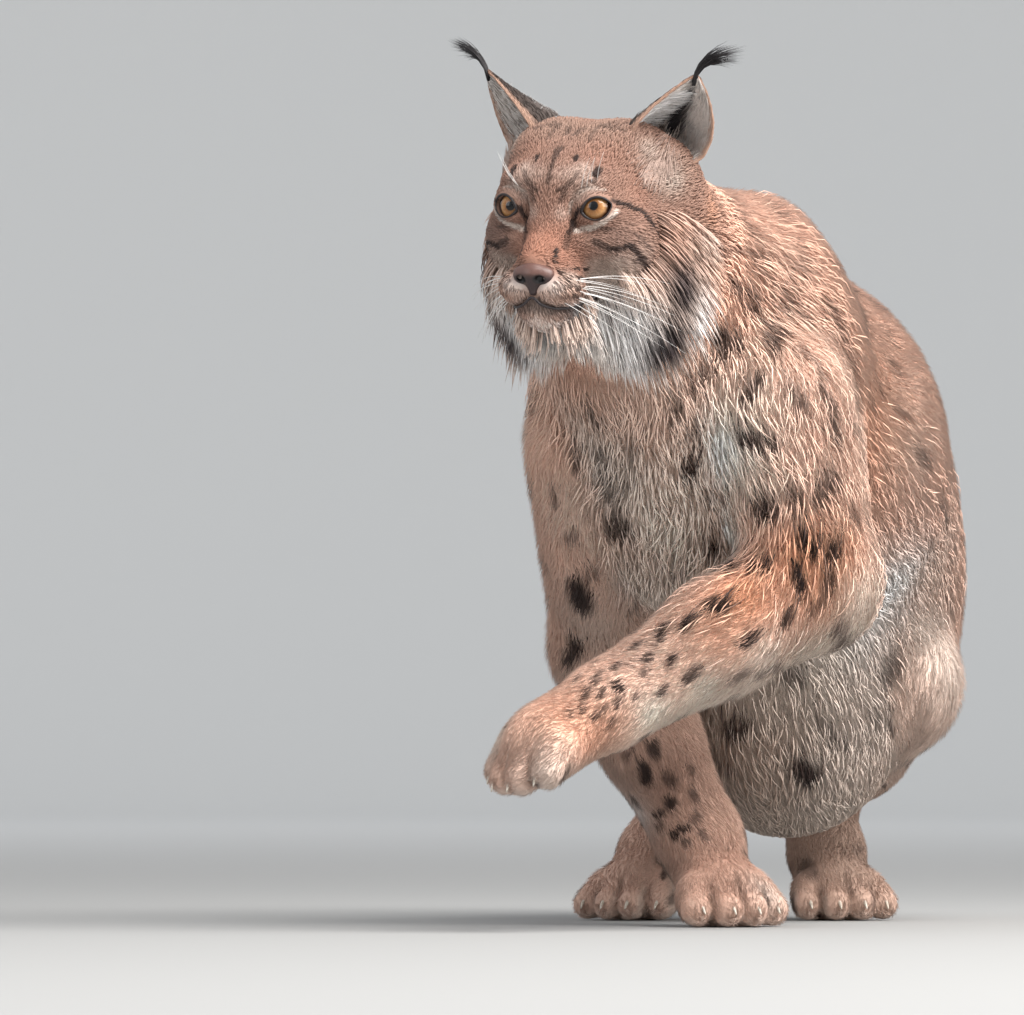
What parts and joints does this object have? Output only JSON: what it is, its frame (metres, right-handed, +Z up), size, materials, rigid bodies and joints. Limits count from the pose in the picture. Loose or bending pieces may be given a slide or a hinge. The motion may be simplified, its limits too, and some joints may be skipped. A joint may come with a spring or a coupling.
{
  "type": "eurasian lynx",
  "caption": "Life-size still model of a Eurasian lynx, standing low on its paws with one forepaw lifted across the chest, with tufted ears, cheek ruff and bobbed tail.",
  "frame": {"origin": "on the floor, under the middle of the whole model's bounding box", "axes": "+Z up, the lynx faces -Y with its head turned a little to its right, its left side is +X"},
  "size_m": [0.333, 0.8434, 0.6688],
  "materials": {
    "coat": "dense fur, rufous tan with cream and white below and dark brown spots",
    "ear_coat": "short dark fur on the backs, pale hair inside, black tufts",
    "nose_leather": "matte, finely pebbled skin",
    "eye": "amber iris with a dark pupil under a clear wet surface",
    "claw": "pale horn, smooth",
    "whisker": "fine white hair"
  },
  "bodies": {
    "root": {"head": "coat", "nose": "nose_leather", "eye_left": "eye", "eye_right": "eye", "ear_left": "ear_coat", "ear_right": "ear_coat", "neck": "coat", "torso": "coat", "tail": "coat", "foreleg_left": "coat", "forepaw_left": "coat", "foreleg_right": "coat", "forepaw_right": "coat", "hind_leg_left": "coat", "hind_paw_left": "coat", "hind_leg_right": "coat", "hind_paw_right": "coat"}
  },
  "joints": []
}
